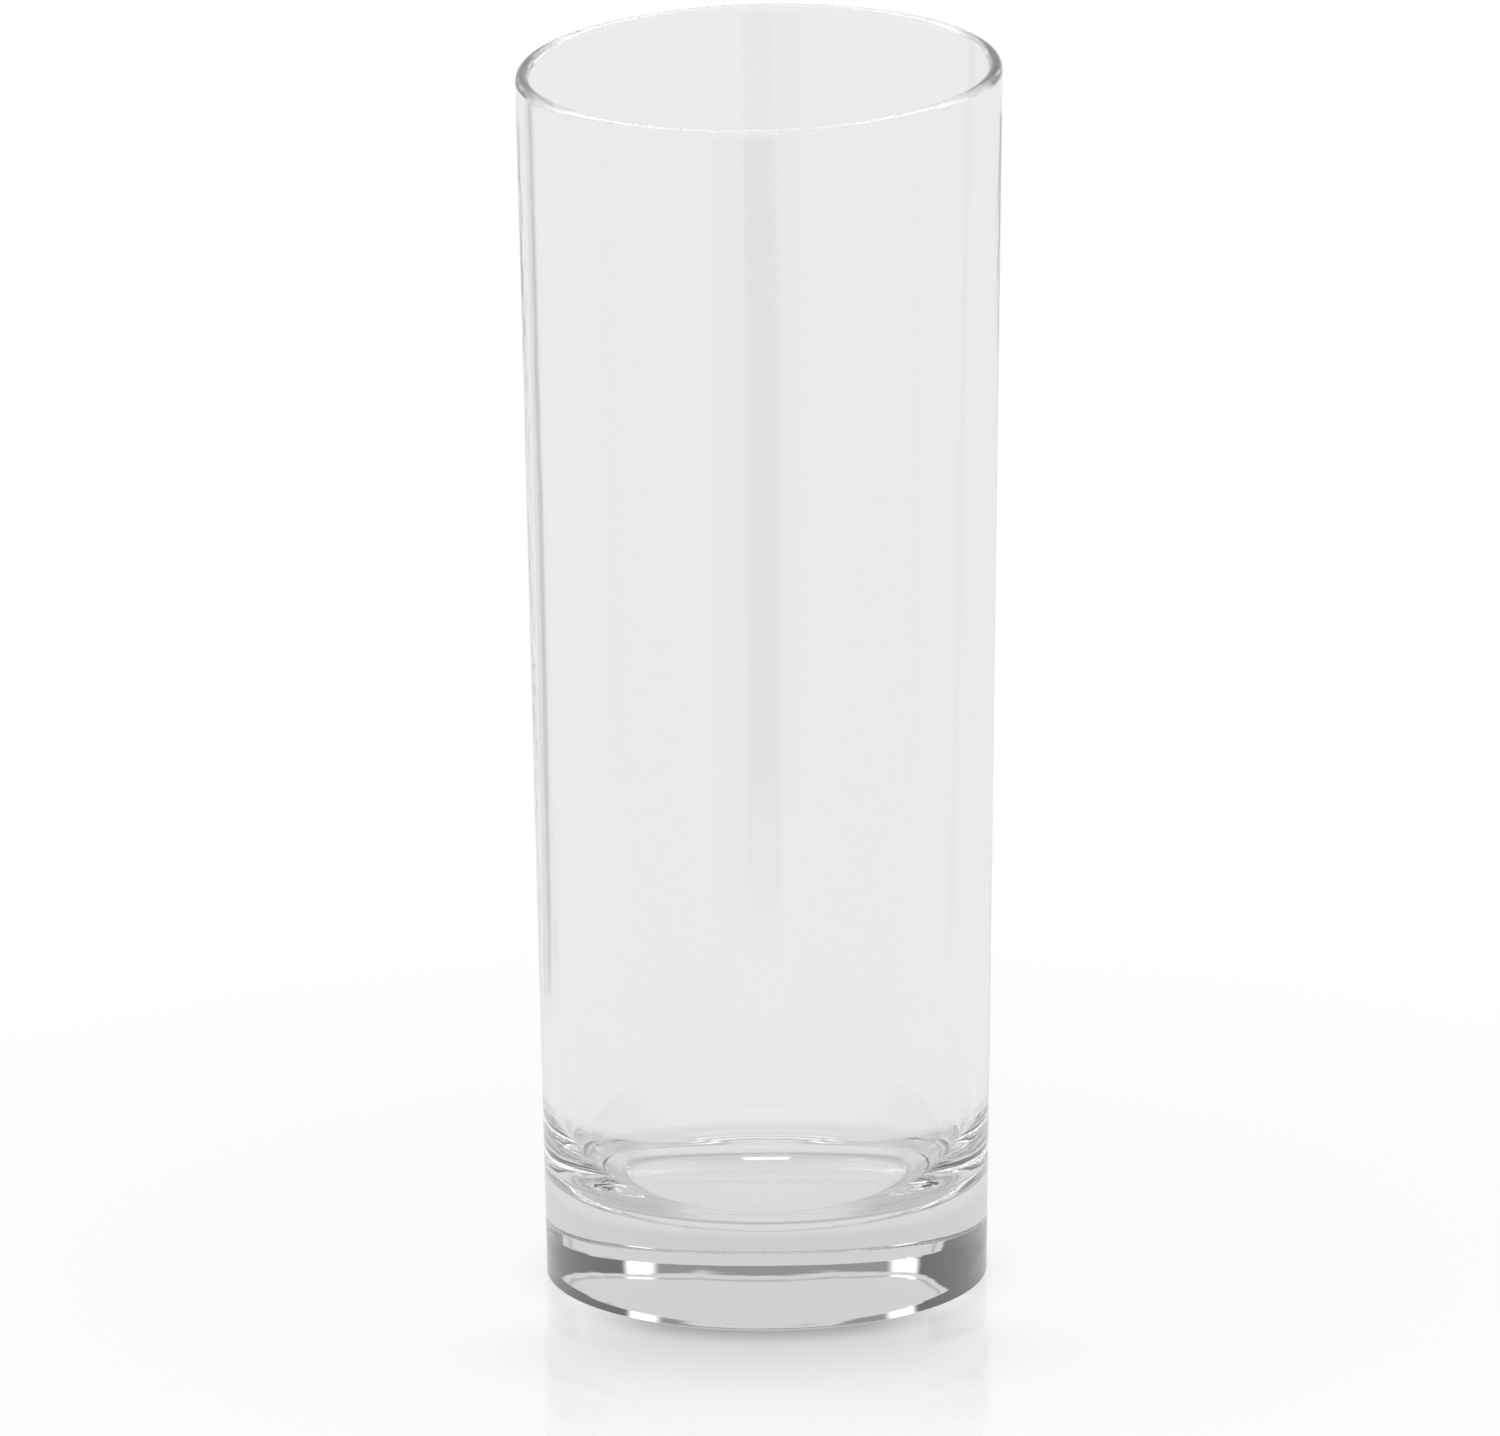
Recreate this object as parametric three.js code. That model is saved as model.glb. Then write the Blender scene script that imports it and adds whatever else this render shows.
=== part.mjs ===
// A clear glass cylinder vase for cut flowers, made as the real one is: a single piece of glass.
// It has a heavy base, a bowl-shaped inner floor, a wall that opens slightly towards the mouth
// and thins towards the rim, and a fire-polished rim that is rounded all the way over.
// Millimetres, +Z up. The origin is the centre of the plane that the vase stands on.

import * as THREE from 'three';

// Overall size
const height = 229;
const mouthRadius = 44.45;
const footRadius = 40.3;

// Wall and base. The bowl's section is a superellipse, a little squarer than an ellipse.
const rimThickness = 2.55;
const rimRoundHeight = 1.6;
const lowerWallThickness = 3.2;
const baseThickness = 17;
const bowlHeight = 19;
const bowlReach = 10.9;
const bowlPower = 2.25;

// Underside: a dome that is a shallow cone with a rounded tip, a narrow flat ring that the vase
// stands on, and a foot that rises from the ring to the heel
const standingRingInner = 29.4;
const standingRingWidth = 1.8;
const domeDegrees = 3.2;
const domeTip = 10;
const footRiseDegrees = 2.5;
const heelRadius = 0.5;

// Fineness of the facets
const segmentsAround = 72;
const domeSteps = 6;
const heelSteps = 4;
const wallSteps = 4;
const rimSteps = 10;
const bowlSteps = 12;

// Outside radius of the wall at a height: a straight line from the foot to the mouth.
function outerRadius(z) {
  return footRadius + (mouthRadius - footRadius) * (z / height);
}

// Rise over a distance along a slope in degrees.
function riseOver(distance, degrees) {
  return distance * Math.tan(THREE.MathUtils.degToRad(degrees));
}

// Points of an arc about a centre, from one angle to another, both ends included. The arc is round
// when its two radii are equal. An angle of 0 points away from the axis, and 90 degrees points up.
function arcPoints(centre, radiusOut, radiusUp, fromDegrees, toDegrees, steps) {
  const points = [];
  for (let step = 0; step <= steps; step += 1) {
    const degrees = THREE.MathUtils.lerp(fromDegrees, toDegrees, step / steps);
    const angle = THREE.MathUtils.degToRad(degrees);
    const r = centre.x + radiusOut * Math.cos(angle);
    const z = centre.y + radiusUp * Math.sin(angle);
    points.push(new THREE.Vector2(r, z));
  }
  return points;
}

// Points between two ends of a straight stretch, the ends themselves left out.
function pointsBetween(start, end, steps) {
  const points = [];
  for (let step = 1; step < steps; step += 1) {
    points.push(new THREE.Vector2().lerpVectors(start, end, step / steps));
  }
  return points;
}

// The underside, from the axis out to the end of the foot. The dome is a hyperbola, so it meets
// the axis level and is almost a cone at the ring.
function undersidePoints() {
  const points = [];
  for (let step = 0; step <= domeSteps; step += 1) {
    const r = standingRingInner * (step / domeSteps);
    const fall = Math.hypot(standingRingInner, domeTip) - Math.hypot(r, domeTip);
    points.push(new THREE.Vector2(r, riseOver(fall, domeDegrees)));
  }
  const ringOuter = standingRingInner + standingRingWidth;
  points.push(new THREE.Vector2(ringOuter, 0));
  const footOuter = footRadius - heelRadius;
  points.push(new THREE.Vector2(footOuter, riseOver(footOuter - ringOuter, footRiseDegrees)));
  return points;
}

// The bowl, from the top of its side down to the flat inner floor.
function bowlPoints() {
  const bowlTop = baseThickness + bowlHeight;
  const flatRadius = outerRadius(bowlTop) - lowerWallThickness - bowlReach;
  const points = [];
  for (let step = 0; step <= bowlSteps; step += 1) {
    const angle = (Math.PI / 2) * (step / bowlSteps);
    const out = Math.max(Math.cos(angle), 0) ** (2 / bowlPower);
    const down = Math.sin(angle) ** (2 / bowlPower);
    points.push(new THREE.Vector2(flatRadius + bowlReach * out, bowlTop - bowlHeight * down));
  }
  return points;
}

// The section of the glass, as points (radius, height). It starts on the axis under the base,
// goes out round the heel, up the outside, over the rim, down the inside, and back to the axis.
function sectionPoints() {
  const underside = undersidePoints();
  const footEnd = underside[underside.length - 1];
  const heelCentre = new THREE.Vector2(footEnd.x, footEnd.y + heelRadius);
  const heel = arcPoints(heelCentre, heelRadius, heelRadius, -90, 0, heelSteps);

  const rimRadius = rimThickness / 2;
  const rimCentre = new THREE.Vector2(mouthRadius - rimRadius, height - rimRoundHeight);
  const rim = arcPoints(rimCentre, rimRadius, rimRoundHeight, 0, 180, rimSteps);

  const bowl = bowlPoints();
  const outerWall = pointsBetween(heel[heelSteps], rim[0], wallSteps);
  const innerWall = pointsBetween(rim[rimSteps], bowl[0], wallSteps);
  const floorCentre = new THREE.Vector2(0, baseThickness);

  return [
    ...underside,
    ...heel.slice(1),
    ...outerWall,
    ...rim,
    ...innerWall,
    ...bowl,
    floorCentre,
  ];
}

// The body of the vase: the section turned about the vertical axis. The lathe turns about Y,
// so the result is laid over to put that axis along +Z.
function makeVaseBody() {
  const geometry = new THREE.LatheGeometry(sectionPoints(), segmentsAround);
  geometry.rotateX(Math.PI / 2);
  const clearGlass = new THREE.MeshStandardMaterial({
    color: 0xe4e9e8,
    roughness: 0.04,
    metalness: 0,
    transparent: true,
    opacity: 0.35,
  });
  const body = new THREE.Mesh(geometry, clearGlass);
  body.name = 'vase_body';
  return body;
}

const vase = new THREE.Group();
vase.name = 'glass_cylinder_vase';
vase.add(makeVaseBody());

export default vase;
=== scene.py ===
"""The looks of a clear glass cylinder vase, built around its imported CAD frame.

The vase is one piece of glass: a heavy base, a bowl-shaped inner floor, a wall that opens slightly
towards the mouth, and a fire-polished rim. Everything is in metres, +Z up, with the origin at the
centre of the plane that the vase stands on.

The camera looks along +Y and a little down. Azimuths are measured about the vase from +Y, so 0 is
straight behind it, 180 degrees is in front of it, and positive azimuths are on the right.
"""

import math

import bmesh
import bpy
from mathutils import Matrix, Vector


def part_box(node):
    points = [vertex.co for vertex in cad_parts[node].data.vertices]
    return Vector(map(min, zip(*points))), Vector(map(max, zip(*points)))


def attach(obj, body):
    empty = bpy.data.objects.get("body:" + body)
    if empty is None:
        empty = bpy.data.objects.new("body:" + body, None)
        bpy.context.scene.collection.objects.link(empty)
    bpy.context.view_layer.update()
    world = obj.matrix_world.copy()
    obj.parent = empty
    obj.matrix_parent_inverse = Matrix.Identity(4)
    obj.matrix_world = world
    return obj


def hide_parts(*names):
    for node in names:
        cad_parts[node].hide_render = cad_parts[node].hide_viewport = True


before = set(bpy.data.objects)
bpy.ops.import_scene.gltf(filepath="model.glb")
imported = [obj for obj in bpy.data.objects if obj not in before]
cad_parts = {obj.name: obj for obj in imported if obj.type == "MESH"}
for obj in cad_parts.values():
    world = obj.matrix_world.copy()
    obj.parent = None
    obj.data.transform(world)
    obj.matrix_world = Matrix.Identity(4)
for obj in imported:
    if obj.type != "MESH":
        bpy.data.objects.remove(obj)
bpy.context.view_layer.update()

MM = 0.001
DEG = math.radians(1)

# Overall size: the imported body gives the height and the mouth
body_low, body_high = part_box("vase_body")
HEIGHT = body_high[2] - body_low[2]
MOUTH_RADIUS = (body_high[0] - body_low[0]) / 2
FOOT_RADIUS = 40.3 * MM

# Wall, base and bowl. The bowl's section is a superellipse.
RIM_THICKNESS = 2.55 * MM
RIM_ROUND_HEIGHT = 1.6 * MM
LOWER_WALL_THICKNESS = 3.2 * MM
BASE_THICKNESS = 17.0 * MM
BOWL_HEIGHT = 19.0 * MM
BOWL_REACH = 10.9 * MM
BOWL_POWER = 2.25

# Underside: a shallow cone with a rounded tip, a flat ring, and a foot that rises to the heel
HEEL_RADIUS = 0.5 * MM
STANDING_RING_INNER = 29.4 * MM
STANDING_RING_WIDTH = 1.8 * MM
FOOT_RISE_SLOPE = math.tan(2.5 * DEG)
DOME_SLOPE = math.tan(3.2 * DEG)
DOME_TIP = 10 * MM

# The mouth leans a little out of level, and the lean dies away down the wall
RIM_TILT = math.tan(1.15 * DEG)
RIM_TILT_POWER = 3

# Fineness of the mesh
SEGMENTS_AROUND = 360
DOME_STEPS = 60
RING_STEPS = 4
FOOT_STEPS = 12
HEEL_STEPS = 16
WALL_STEPS = 40
WALL_END_SHARES = (0.0005, 0.002)
RIM_STEPS = 48
BOWL_STEPS = 80
FLOOR_STEPS = 20
ON_AXIS = 1e-9


def outer_radius(z):
    """Outside radius of the wall at a height: a straight line from the foot to the mouth."""
    return FOOT_RADIUS + (MOUTH_RADIUS - FOOT_RADIUS) * z / HEIGHT


def between(start, end, share):
    """The point that is a share of the way from one point to another."""
    return tuple(first + (second - first) * share for first, second in zip(start, end))


def arc_points(centre, radius_out, radius_up, from_degrees, to_degrees, steps):
    """Points of an arc, both ends included. 0 points away from the axis, and 90 degrees up."""
    points = []
    for step in range(steps + 1):
        angle = math.radians(from_degrees + (to_degrees - from_degrees) * step / steps)
        out = centre[0] + radius_out * math.cos(angle)
        up = centre[1] + radius_up * math.sin(angle)
        points.append((out, up))
    return points


def wall_points(start, end):
    """Points between two ends of a wall, with some close to each end, so that the smooth shading
    of the curves beyond the ends doesn't spread into the wall."""
    near_start = list(WALL_END_SHARES)
    even = [step / WALL_STEPS for step in range(1, WALL_STEPS)]
    near_end = [1 - share for share in reversed(WALL_END_SHARES)]
    return [between(start, end, share) for share in near_start + even + near_end]


def dome_height(radius):
    """Height of the underside's dome: a hyperbola, level at the axis and 0 at the ring."""
    fall = math.hypot(STANDING_RING_INNER, DOME_TIP) - math.hypot(radius, DOME_TIP)
    return DOME_SLOPE * fall


def underside_points():
    """The underside and the heel, from the axis out to the foot of the outer wall."""
    points = []
    for step in range(DOME_STEPS + 1):
        radius = STANDING_RING_INNER * step / DOME_STEPS
        points.append((radius, dome_height(radius)))
    for step in range(1, RING_STEPS + 1):
        points.append((STANDING_RING_INNER + STANDING_RING_WIDTH * step / RING_STEPS, 0))
    ring_end = (STANDING_RING_INNER + STANDING_RING_WIDTH, 0)
    foot_outer = outer_radius(HEEL_RADIUS) - HEEL_RADIUS
    foot_rise = (foot_outer - ring_end[0]) * FOOT_RISE_SLOPE
    for step in range(1, FOOT_STEPS):
        points.append(between(ring_end, (foot_outer, foot_rise), step / FOOT_STEPS))
    heel_top = foot_rise + HEEL_RADIUS
    heel_centre = (outer_radius(heel_top) - HEEL_RADIUS, heel_top)
    return points + arc_points(heel_centre, HEEL_RADIUS, HEEL_RADIUS, -90, 0, HEEL_STEPS)


def rim_points():
    """The rim, from the outer wall over to the inner wall."""
    half_thickness = RIM_THICKNESS / 2
    centre = (MOUTH_RADIUS - half_thickness, HEIGHT - RIM_ROUND_HEIGHT)
    return arc_points(centre, half_thickness, RIM_ROUND_HEIGHT, 0, 180, RIM_STEPS)


def bowl_points():
    """The bowl and the flat inner floor, from the foot of the inner wall in to the axis."""
    bowl_top = BASE_THICKNESS + BOWL_HEIGHT
    flat_radius = outer_radius(bowl_top) - LOWER_WALL_THICKNESS - BOWL_REACH
    points = []
    for step in range(BOWL_STEPS + 1):
        angle = math.radians(90 * step / BOWL_STEPS)
        out = math.cos(angle) ** (2 / BOWL_POWER) if step < BOWL_STEPS else 0.0
        down = math.sin(angle) ** (2 / BOWL_POWER) if step > 0 else 0.0
        points.append((flat_radius + BOWL_REACH * out, bowl_top - BOWL_HEIGHT * down))
    for step in range(1, FLOOR_STEPS + 1):
        points.append((flat_radius * (1 - step / FLOOR_STEPS), BASE_THICKNESS))
    return points


def section_points():
    """The whole section of the glass, as points (radius, height), from the axis to the axis."""
    underside = underside_points()
    rim = rim_points()
    bowl = bowl_points()
    outer_wall = wall_points(underside[-1], rim[0])
    inner_wall = wall_points(rim[-1], bowl[0])
    return underside + outer_wall + rim + inner_wall + bowl


def lathe(name, section):
    """A closed, smooth-shaded body: the section turned about the axis, with its mouth leant."""
    mesh = bpy.data.meshes.new(name)
    work = bmesh.new()
    rings = []
    for radius, z in section:
        if radius < ON_AXIS:
            rings.append([work.verts.new((0, 0, z))])
            continue
        ring = []
        for segment in range(SEGMENTS_AROUND):
            angle = 2 * math.pi * segment / SEGMENTS_AROUND
            ring.append(work.verts.new((radius * math.cos(angle), radius * math.sin(angle), z)))
        rings.append(ring)
    for lower, upper in zip(rings, rings[1:]):
        for segment in range(SEGMENTS_AROUND):
            following = (segment + 1) % SEGMENTS_AROUND
            # A ring on the axis is a single vertex, so a face that touches it is a triangle
            corners = []
            for corner in (
                lower[segment % len(lower)],
                lower[following % len(lower)],
                upper[following % len(upper)],
                upper[segment % len(upper)],
            ):
                if corner not in corners:
                    corners.append(corner)
            work.faces.new(corners)
    bmesh.ops.recalc_face_normals(work, faces=work.faces)
    work.to_mesh(mesh)
    work.free()
    for vertex in mesh.vertices:
        share = (vertex.co.z / HEIGHT) ** RIM_TILT_POWER
        vertex.co.z += RIM_TILT * vertex.co.x * share
    mesh.polygons.foreach_set("use_smooth", [True] * len(mesh.polygons))
    piece = bpy.data.objects.new(name, mesh)
    bpy.context.scene.collection.objects.link(piece)
    return piece


class Tree:
    """A node tree, with short ways to add the nodes that the materials and the world use."""

    def __init__(self, tree):
        self.nodes = tree.nodes
        self.links = tree.links

    def put(self, socket, value):
        """Set a socket to a number, or link another node's output to it."""
        if isinstance(value, (int, float)):
            socket.default_value = value
        else:
            self.links.new(value, socket)

    def math(self, operation, *values):
        node = self.nodes.new("ShaderNodeMath")
        node.operation = operation
        for slot, value in enumerate(values):
            self.put(node.inputs[slot], value)
        return node.outputs[0]

    def multiply(self, first, second):
        return self.math("MULTIPLY", first, second)

    def add(self, first, second):
        return self.math("ADD", first, second)

    def step(self, value, start, end):
        """0 up to the start and 1 from the end on, with a smooth rise between them. The start may
        be the larger of the two."""
        node = self.nodes.new("ShaderNodeMapRange")
        node.interpolation_type = "SMOOTHSTEP"
        self.put(node.inputs["Value"], value)
        node.inputs["From Min"].default_value = start
        node.inputs["From Max"].default_value = end
        return node.outputs["Result"]

    def band(self, value, low, high, soft):
        """1 between two edges and 0 outside them. Each edge is soft over that much either way."""
        rise = self.step(value, low - soft, low + soft)
        fall = self.step(value, high - soft, high + soft)
        return self.math("SUBTRACT", rise, fall)

    def ramp(self, value, start, end, start_result, end_result):
        """A straight ramp from one result to another, level beyond its ends."""
        node = self.nodes.new("ShaderNodeMapRange")
        self.put(node.inputs["Value"], value)
        node.inputs["From Min"].default_value = start
        node.inputs["From Max"].default_value = end
        node.inputs["To Min"].default_value = start_result
        node.inputs["To Max"].default_value = end_result
        return node.outputs["Result"]

    def blend(self, share, first, second):
        """The first value where the share is 0, and the second where it is 1."""
        node = self.nodes.new("ShaderNodeMix")
        node.data_type = "FLOAT"
        self.put(node.inputs[0], share)
        self.put(node.inputs[2], first)
        self.put(node.inputs[3], second)
        return node.outputs[0]

    def noise(self, size, stretch):
        """Noise with features of a real size, drawn out along the vase's axis."""
        coordinates = self.nodes.new("ShaderNodeTexCoord")
        mapping = self.nodes.new("ShaderNodeMapping")
        mapping.inputs["Scale"].default_value = (1, 1, 1 / stretch)
        texture = self.nodes.new("ShaderNodeTexNoise")
        texture.inputs["Scale"].default_value = 1 / size
        texture.inputs["Detail"].default_value = 1.0
        self.links.new(coordinates.outputs["Object"], mapping.inputs["Vector"])
        self.links.new(mapping.outputs[0], texture.inputs["Vector"])
        return texture.outputs["Fac"]

    def polar(self, coordinate_output):
        """Azimuth, distance from the axis, and height."""
        coordinates = self.nodes.new("ShaderNodeTexCoord")
        separate = self.nodes.new("ShaderNodeSeparateXYZ")
        self.links.new(coordinates.outputs[coordinate_output], separate.inputs[0])
        x, y, z = separate.outputs
        azimuth = self.math("ARCTAN2", x, y)
        radius = self.math("SQRT", self.add(self.multiply(x, x), self.multiply(y, y)))
        return azimuth, radius, z

    def piped(self, path):
        """Light that has been guided a long way inside the glass. Gives whether a ray is of that
        kind, and a gain that grows with its turns, which makes up for what the glass absorbs."""
        depth = path.outputs["Ray Depth"]
        is_piped = self.math("GREATER_THAN", depth, PIPED_DEPTH)
        gain = self.math("EXPONENT", self.multiply(depth, PIPED_GAIN))
        return is_piped, self.math("MINIMUM", gain, PIPED_LIMIT)


# Clear glass
GLASS_IOR = 1.52
ABSORPTION_DENSITY = 22.0
ABSORPTION_COLOUR = (0.8795, 0.881, 0.8803, 1)
WAVE_HEIGHT = 0.05 * MM
WAVE_SIZE = 18 * MM
WAVE_STRETCH = 6
DIMPLE_HEIGHT = 0.008 * MM
DIMPLE_SIZE = 4 * MM
DIMPLE_STRETCH = 1.5
POLISH_START = HEIGHT - 10 * MM
POLISH_END = HEIGHT - 2 * MM
SMUDGE_SIZE = 30 * MM
SMUDGE_EDGES = (0.55, 0.75)
SMUDGE_ROUGHNESS = 0.02


def glass_material():
    """Clear glass with long shallow waves and fine dimples, which the polished rim doesn't have,
    faint smudges in the gloss, and a slight neutral absorption."""
    material = bpy.data.materials.new("clear_glass")
    material.use_nodes = True
    tree = Tree(material.node_tree)
    shader = tree.nodes["Principled BSDF"]
    shader.inputs["Transmission Weight"].default_value = 1.0
    shader.inputs["IOR"].default_value = GLASS_IOR
    shader.inputs["Base Color"].default_value = (1, 1, 1, 1)

    waves = tree.multiply(tree.noise(WAVE_SIZE, WAVE_STRETCH), WAVE_HEIGHT)
    dimples = tree.multiply(tree.noise(DIMPLE_SIZE, DIMPLE_STRETCH), DIMPLE_HEIGHT)
    _, _, z = tree.polar("Object")
    unpolished = tree.step(z, POLISH_END, POLISH_START)
    bump = tree.nodes.new("ShaderNodeBump")
    bump.inputs["Distance"].default_value = 1.0
    tree.put(bump.inputs["Height"], tree.multiply(tree.add(waves, dimples), unpolished))
    tree.put(shader.inputs["Normal"], bump.outputs["Normal"])

    smudges = tree.step(tree.noise(SMUDGE_SIZE, 1), *SMUDGE_EDGES)
    tree.put(shader.inputs["Roughness"], tree.multiply(smudges, SMUDGE_ROUGHNESS))

    absorption = tree.nodes.new("ShaderNodeVolumeAbsorption")
    absorption.inputs["Color"].default_value = ABSORPTION_COLOUR
    absorption.inputs["Density"].default_value = ABSORPTION_DENSITY
    tree.put(tree.nodes["Material Output"].inputs["Volume"], absorption.outputs[0])
    return material


glass = lathe("glass_vase", section_points())
glass.data.materials.append(glass_material())
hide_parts("vase_body")
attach(glass, "root")

# Light that is guided along inside the wall: rays that have turned many times see the studio
# brighter, and the floor with a brighter painted glow
PIPED_DEPTH = 12.5
PIPED_GAIN = 0.019
PIPED_LIMIT = 20.0

# Floor
FLOOR_HALF_WIDTH = 6.0
FLOOR_DROP = 0.1 * MM

# The floor's painted glow as the glass shows it: a little brighter behind the vase than in front,
# with painted shadow near the vase, under the standing ring and beside the foot, and painted dark
# patches far in front and at the left. Steps are (start, end), and bands are (low, high,
# softness).
GLOW_BEHIND = 0.845
GLOW_FRONT = 0.80
GLOW_NEAR_SHADOW = 0.75
# Level of the painted shadow and of the painted dark patches in the floor's glow
GLOW_PAINTED_DARK = 0.35
GLOW_PIPED = 0.70
SIDE_TO_FRONT = (60 * DEG, 120 * DEG)
NEAR_SHADOW_EDGE = (51 * MM, 57 * MM)
DARK_WEDGE_START = (250 * MM, 300 * MM)
DARK_WEDGE_EDGE = (170 * DEG, 174 * DEG)
HALF_DARK_WEDGE_BAND = (-171 * DEG, -159 * DEG, 1.5 * DEG)
HALF_DARK_WEDGE_SHARE = 0.5
STRIP_START = (170 * MM, 220 * MM)
STRIP_BAND = (-41 * DEG, -34.5 * DEG, 2 * DEG)
STRIP_SHARE = 0.75
RING_SHADE_BAND = (29 * MM, 32.5 * MM, 1.5 * MM)
RING_SHADE_SHARE = 0.6
FOOT_SHADE_BAND = (33 * MM, 41 * MM, 1.5 * MM)
FOOT_SHADE_SIDES = (70 * DEG, 145 * DEG, 15 * DEG)
FOOT_SHADE_SHARE = 0.5

# The floor as the camera sees it: a painted glow with a painted contact shadow and painted shade,
# deeper in front
SEEN_NEAR = 1.0
SEEN_FAR = 1.06
SEEN_NEAR_STEP = (300 * MM, 60 * MM)
SHADOW_FRONT_STEP = (118 * DEG, 158 * DEG)
CONTACT_SHADOW_STEP = (FOOT_RADIUS + 9 * MM, FOOT_RADIUS - 4 * MM)
CONTACT_SHADOW_BEHIND = 0.12
CONTACT_SHADOW_FRONT = 0.36
SHADE_STEP = (FOOT_RADIUS + 55 * MM, FOOT_RADIUS - 10 * MM)
SHADE_BEHIND = 0.0
SHADE_FRONT = 0.33
FLOOR_MIRROR = 0.2
FLOOR_MIRROR_ROUGHNESS = 0.06


def floor_glow(tree, signed_azimuth, radius, path):
    """Painted glow of the floor to every ray but the camera's own, with painted shadow near the
    vase, under the standing ring and beside the foot, painted dark patches, and painted light for
    rays guided inside the glass.
    """
    azimuth = tree.math("ABSOLUTE", signed_azimuth)
    # The painted glow is a little brighter behind the vase than in front
    level = tree.blend(tree.step(azimuth, *SIDE_TO_FRONT), GLOW_BEHIND, GLOW_FRONT)

    # Painted dark patch: a wedge far in front of the vase where the glow is darker, with a
    # half-dark band beside it on the left
    far_enough = tree.step(radius, *DARK_WEDGE_START)
    dark_wedge = tree.multiply(tree.step(azimuth, *DARK_WEDGE_EDGE), far_enough)
    level = tree.blend(dark_wedge, level, GLOW_PAINTED_DARK)
    half_dark_wedge = tree.multiply(tree.band(signed_azimuth, *HALF_DARK_WEDGE_BAND), far_enough)
    level = tree.blend(tree.multiply(half_dark_wedge, HALF_DARK_WEDGE_SHARE), level, GLOW_PAINTED_DARK)

    # Painted dark patch: a narrow strip at the left, far from the vase, where the glow is darker
    strip_band = tree.band(signed_azimuth, *STRIP_BAND)
    strip = tree.multiply(strip_band, tree.step(radius, *STRIP_START))
    level = tree.blend(tree.multiply(strip, STRIP_SHARE), level, GLOW_PAINTED_DARK)

    # Painted shadow: the glow is darker near the vase
    level = tree.blend(tree.step(radius, *NEAR_SHADOW_EDGE), GLOW_NEAR_SHADOW, level)

    # Painted shadow: the glow is darker under the standing ring, and beside the foot at the sides
    ring_shade = tree.band(radius, *RING_SHADE_BAND)
    level = tree.blend(tree.multiply(ring_shade, RING_SHADE_SHARE), level, GLOW_PAINTED_DARK)
    foot_sides = tree.band(azimuth, *FOOT_SHADE_SIDES)
    foot_shade = tree.multiply(tree.band(radius, *FOOT_SHADE_BAND), foot_sides)
    level = tree.blend(tree.multiply(foot_shade, FOOT_SHADE_SHARE), level, GLOW_PAINTED_DARK)

    # Painted light: rays that have turned many times inside the glass see the floor's glow raised
    # by the gain
    is_piped, gain = tree.piped(path)
    return tree.blend(is_piped, level, tree.multiply(gain, GLOW_PIPED))


def floor_seen(tree, signed_azimuth, radius):
    """Painted glow of the floor to the camera: pale, with a painted soft shadow mostly in front.
    """
    azimuth = tree.math("ABSOLUTE", signed_azimuth)
    # The painted glow is a little darker within 300 mm of the vase
    open_floor = tree.blend(tree.step(radius, *SEEN_NEAR_STEP), SEEN_FAR, SEEN_NEAR)
    # Painted shadow: a contact shadow at the foot and a wider soft shade, both deeper in front of
    # the vase
    front = tree.step(azimuth, *SHADOW_FRONT_STEP)
    contact_shadow_depth = tree.blend(front, CONTACT_SHADOW_BEHIND, CONTACT_SHADOW_FRONT)
    contact_shadow = tree.multiply(tree.step(radius, *CONTACT_SHADOW_STEP), contact_shadow_depth)
    shade_depth = tree.blend(front, SHADE_BEHIND, SHADE_FRONT)
    shade = tree.multiply(tree.step(radius, *SHADE_STEP), shade_depth)
    light = tree.math("SUBTRACT", 1.0, tree.add(contact_shadow, shade))
    return tree.multiply(open_floor, light)


def emission(tree, level):
    node = tree.nodes.new("ShaderNodeEmission")
    tree.put(node.inputs["Color"], level)
    return node.outputs[0]


def mix_shaders(tree, share, first, second):
    node = tree.nodes.new("ShaderNodeMixShader")
    tree.put(node.inputs[0], share)
    tree.put(node.inputs[1], first)
    tree.put(node.inputs[2], second)
    return node.outputs[0]


def floor_material():
    """A pale, slightly mirroring floor that glows with painted light: one painted glow for the
    camera and another for every other ray.
    """
    material = bpy.data.materials.new("pale_floor")
    material.use_nodes = True
    tree = Tree(material.node_tree)
    path = tree.nodes.new("ShaderNodeLightPath")
    signed_azimuth, radius, _ = tree.polar("Object")
    # Painted light: the floor glows for every ray; the camera sees one painted glow with a real
    # mirror, and all other rays see another painted glow
    glow = emission(tree, floor_glow(tree, signed_azimuth, radius, path))
    surface = emission(tree, floor_seen(tree, signed_azimuth, radius))
    mirror = tree.nodes.new("ShaderNodeBsdfGlossy")
    mirror.inputs["Roughness"].default_value = FLOOR_MIRROR_ROUGHNESS
    finish = mix_shaders(tree, FLOOR_MIRROR, surface, mirror.outputs[0])
    chosen = mix_shaders(tree, path.outputs["Is Camera Ray"], glow, finish)
    tree.put(tree.nodes["Material Output"].inputs["Surface"], chosen)
    return material


floor_mesh = bpy.data.meshes.new("floor")
floor_corners = [
    (x * FLOOR_HALF_WIDTH, y * FLOOR_HALF_WIDTH, 0)
    for x, y in ((-1, -1), (1, -1), (1, 1), (-1, 1))
]
floor_mesh.from_pydata(floor_corners, [], [(0, 1, 2, 3)])
floor = bpy.data.objects.new("floor", floor_mesh)
floor.location.z = -FLOOR_DROP
bpy.context.scene.collection.objects.link(floor)
floor.data.materials.append(floor_material())

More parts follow.
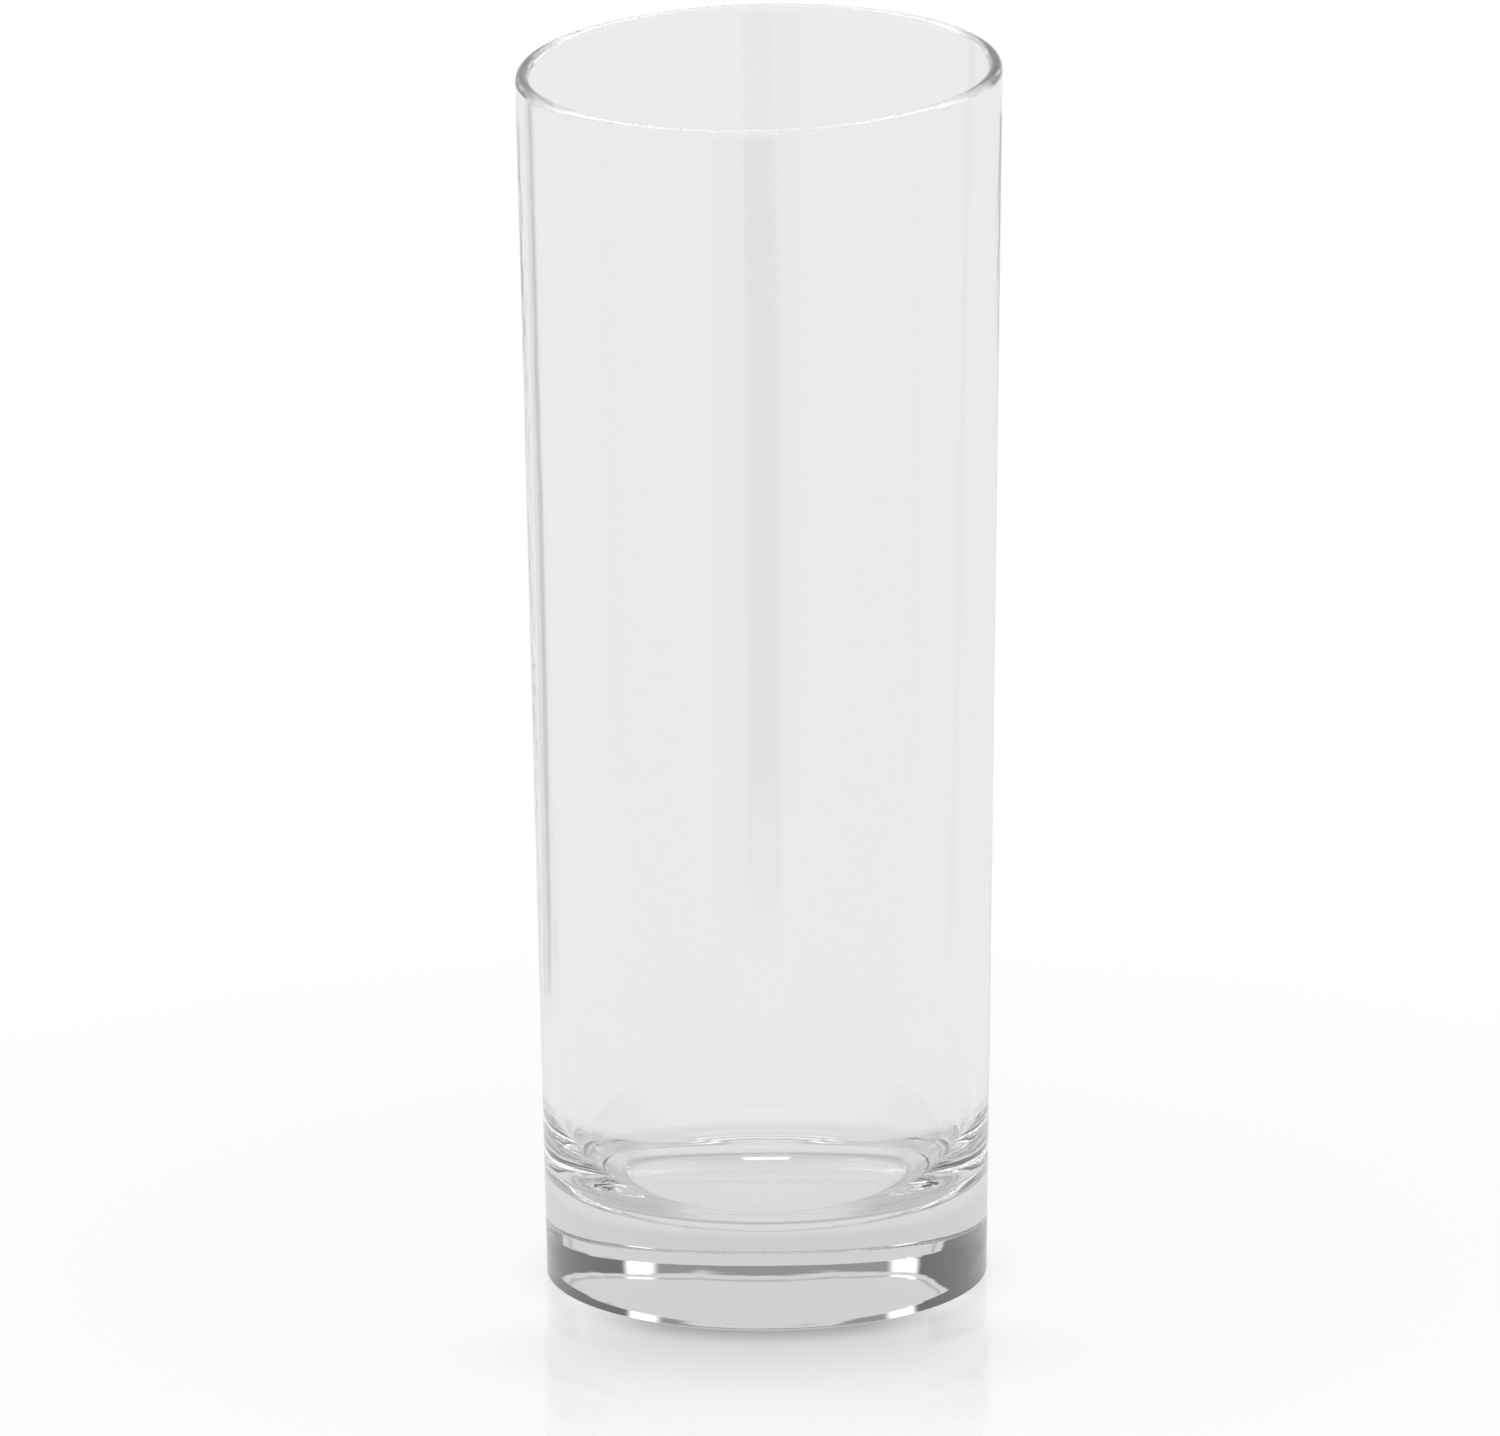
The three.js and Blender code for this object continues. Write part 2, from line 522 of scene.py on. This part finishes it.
# Studio: pale all round, with a dark band low behind the vase that has two windows in it, a thin
# line above the band, a dark patch high at each side, and a softbox high in front
WORLD_BACK = 0.78
WORLD_DARK = 0.13
WORLD_HORIZON = 0.32
WORLD_WINDOW = 1.9
WORLD_SOFTBOX = 1.8
WORLD_SEEN = 1.06
WORLD_MIRRORED = 1.0
BAND_TOP_SIDES = (12 * DEG, 67 * DEG)
BAND_TOP_HEIGHTS = (8.5 * DEG, 22 * DEG)
BAND_SIDE_STEP = (68 * DEG, 78 * DEG)
BAND_SIDE_RISE = 22 * DEG
BAND_LEFT_STEP = (-25 * DEG, -50 * DEG)
BAND_LEFT_RISE = 6 * DEG
BAND_END_STEP = (104 * DEG, 94 * DEG)
BAND_TOP_STEP = (0.4 * DEG, -0.4 * DEG)
BAND_FOOT_STEP = (-4 * DEG, -3 * DEG)
BAND_DARKER_STEP = (25 * DEG, 30 * DEG)
LINE_BAND = (1.6 * DEG, 2.6 * DEG, 0.3 * DEG)
LINE_SHARE = 0.5
LEFT_WINDOW_BAND = (-32.1 * DEG, -25.1 * DEG, 1.8 * DEG)
RIGHT_WINDOW_BAND = (22.2 * DEG, 29.2 * DEG, 1.8 * DEG)
PATCH_SIDES = (42 * DEG, 100 * DEG, 3 * DEG)
PATCH_HEIGHTS = (27 * DEG, 42 * DEG, 1 * DEG)
SOFTBOX_STEP = (160 * DEG, 164 * DEG)
SOFTBOX_HEIGHTS = (54 * DEG, 60 * DEG, 1 * DEG)


def studio_level(tree):
    """Brightness of the studio in each direction."""
    signed_azimuth, _, z = tree.polar("Generated")
    azimuth = tree.math("ABSOLUTE", signed_azimuth)
    elevation = tree.math("ARCSINE", z)

    top = tree.ramp(azimuth, *BAND_TOP_SIDES, *BAND_TOP_HEIGHTS)
    side_rise = tree.multiply(tree.step(azimuth, *BAND_SIDE_STEP), BAND_SIDE_RISE)
    left_rise = tree.multiply(tree.step(signed_azimuth, *BAND_LEFT_STEP), BAND_LEFT_RISE)
    above = tree.math("SUBTRACT", elevation, tree.add(tree.add(top, side_rise), left_rise))

    behind = tree.step(azimuth, *BAND_END_STEP)
    below_top = tree.multiply(behind, tree.step(above, *BAND_TOP_STEP))
    dark = tree.multiply(below_top, tree.step(elevation, *BAND_FOOT_STEP))
    darker = tree.step(azimuth, *BAND_DARKER_STEP)
    level = tree.blend(dark, WORLD_BACK, tree.blend(darker, WORLD_HORIZON, WORLD_DARK))

    line = tree.multiply(behind, tree.band(above, *LINE_BAND))
    level = tree.blend(tree.multiply(line, LINE_SHARE), level, WORLD_HORIZON)

    patch_sides = tree.band(azimuth, *PATCH_SIDES)
    patch = tree.multiply(patch_sides, tree.band(elevation, *PATCH_HEIGHTS))
    level = tree.blend(patch, level, WORLD_HORIZON)

    left_window = tree.band(signed_azimuth, *LEFT_WINDOW_BAND)
    right_window = tree.band(signed_azimuth, *RIGHT_WINDOW_BAND)
    frame_of_windows = tree.math("MAXIMUM", dark, line)
    window = tree.multiply(tree.add(left_window, right_window), frame_of_windows)
    level = tree.blend(window, level, WORLD_WINDOW)

    softbox_sides = tree.step(azimuth, *SOFTBOX_STEP)
    softbox = tree.multiply(softbox_sides, tree.band(elevation, *SOFTBOX_HEIGHTS))
    return tree.blend(softbox, level, WORLD_SOFTBOX)


world = bpy.data.worlds.new("studio")
bpy.context.scene.world = world
world.use_nodes = True
studio = Tree(world.node_tree)
studio_path = studio.nodes.new("ShaderNodeLightPath")
level = studio_level(studio)
is_piped, gain = studio.piped(studio_path)
level = studio.multiply(level, studio.blend(is_piped, 1.0, gain))
# A reflection off the outside of the glass or the floor never shows the studio's dark parts
untransmitted = studio.math("LESS_THAN", studio_path.outputs["Transmission Depth"], 0.5)
mirrored = studio.multiply(studio_path.outputs["Is Glossy Ray"], untransmitted)
level = studio.blend(mirrored, level, studio.math("MAXIMUM", level, WORLD_MIRRORED))
level = studio.blend(studio_path.outputs["Is Camera Ray"], level, WORLD_SEEN)
studio.put(studio.nodes["Background"].inputs["Color"], level)

# Camera: far away, with a long lens. It aims at a point a little left of the vase's axis and above
# its foot, and the view is this wide at the vase.
CAMERA_DISTANCE = 10.0
CAMERA_ELEVATION = 16.1 * DEG
CAMERA_ROLL = 0.395 * DEG
VIEW_WIDTH = 0.275179
AIM_RIGHT = -3.1187 * MM
AIM_UP = 101.2658 * MM
SENSOR_WIDTH = 36
CLIP_END = 100

camera_data = bpy.data.cameras.new("camera")
camera_data.sensor_width = SENSOR_WIDTH
camera_data.lens = SENSOR_WIDTH * CAMERA_DISTANCE / VIEW_WIDTH
camera_data.clip_end = CLIP_END
camera = bpy.data.objects.new("camera", camera_data)
bpy.context.scene.collection.objects.link(camera)
bpy.context.scene.camera = camera
forward = Vector((0, math.cos(CAMERA_ELEVATION), -math.sin(CAMERA_ELEVATION)))
level_right = Vector((1, 0, 0))
level_up = level_right.cross(forward)
right = level_right * math.cos(CAMERA_ROLL) - level_up * math.sin(CAMERA_ROLL)
up = level_up * math.cos(CAMERA_ROLL) + level_right * math.sin(CAMERA_ROLL)
camera.location = right * AIM_RIGHT + up * AIM_UP - forward * CAMERA_DISTANCE
camera.rotation_euler = Matrix((right, up, -forward)).transposed().to_euler()

# Light may turn many times inside the glass
LIGHT_BOUNCES = 256
scene = bpy.context.scene
scene.view_settings.view_transform = "Standard"
scene.cycles.max_bounces = LIGHT_BOUNCES
scene.cycles.transmission_bounces = LIGHT_BOUNCES
scene.cycles.glossy_bounces = LIGHT_BOUNCES
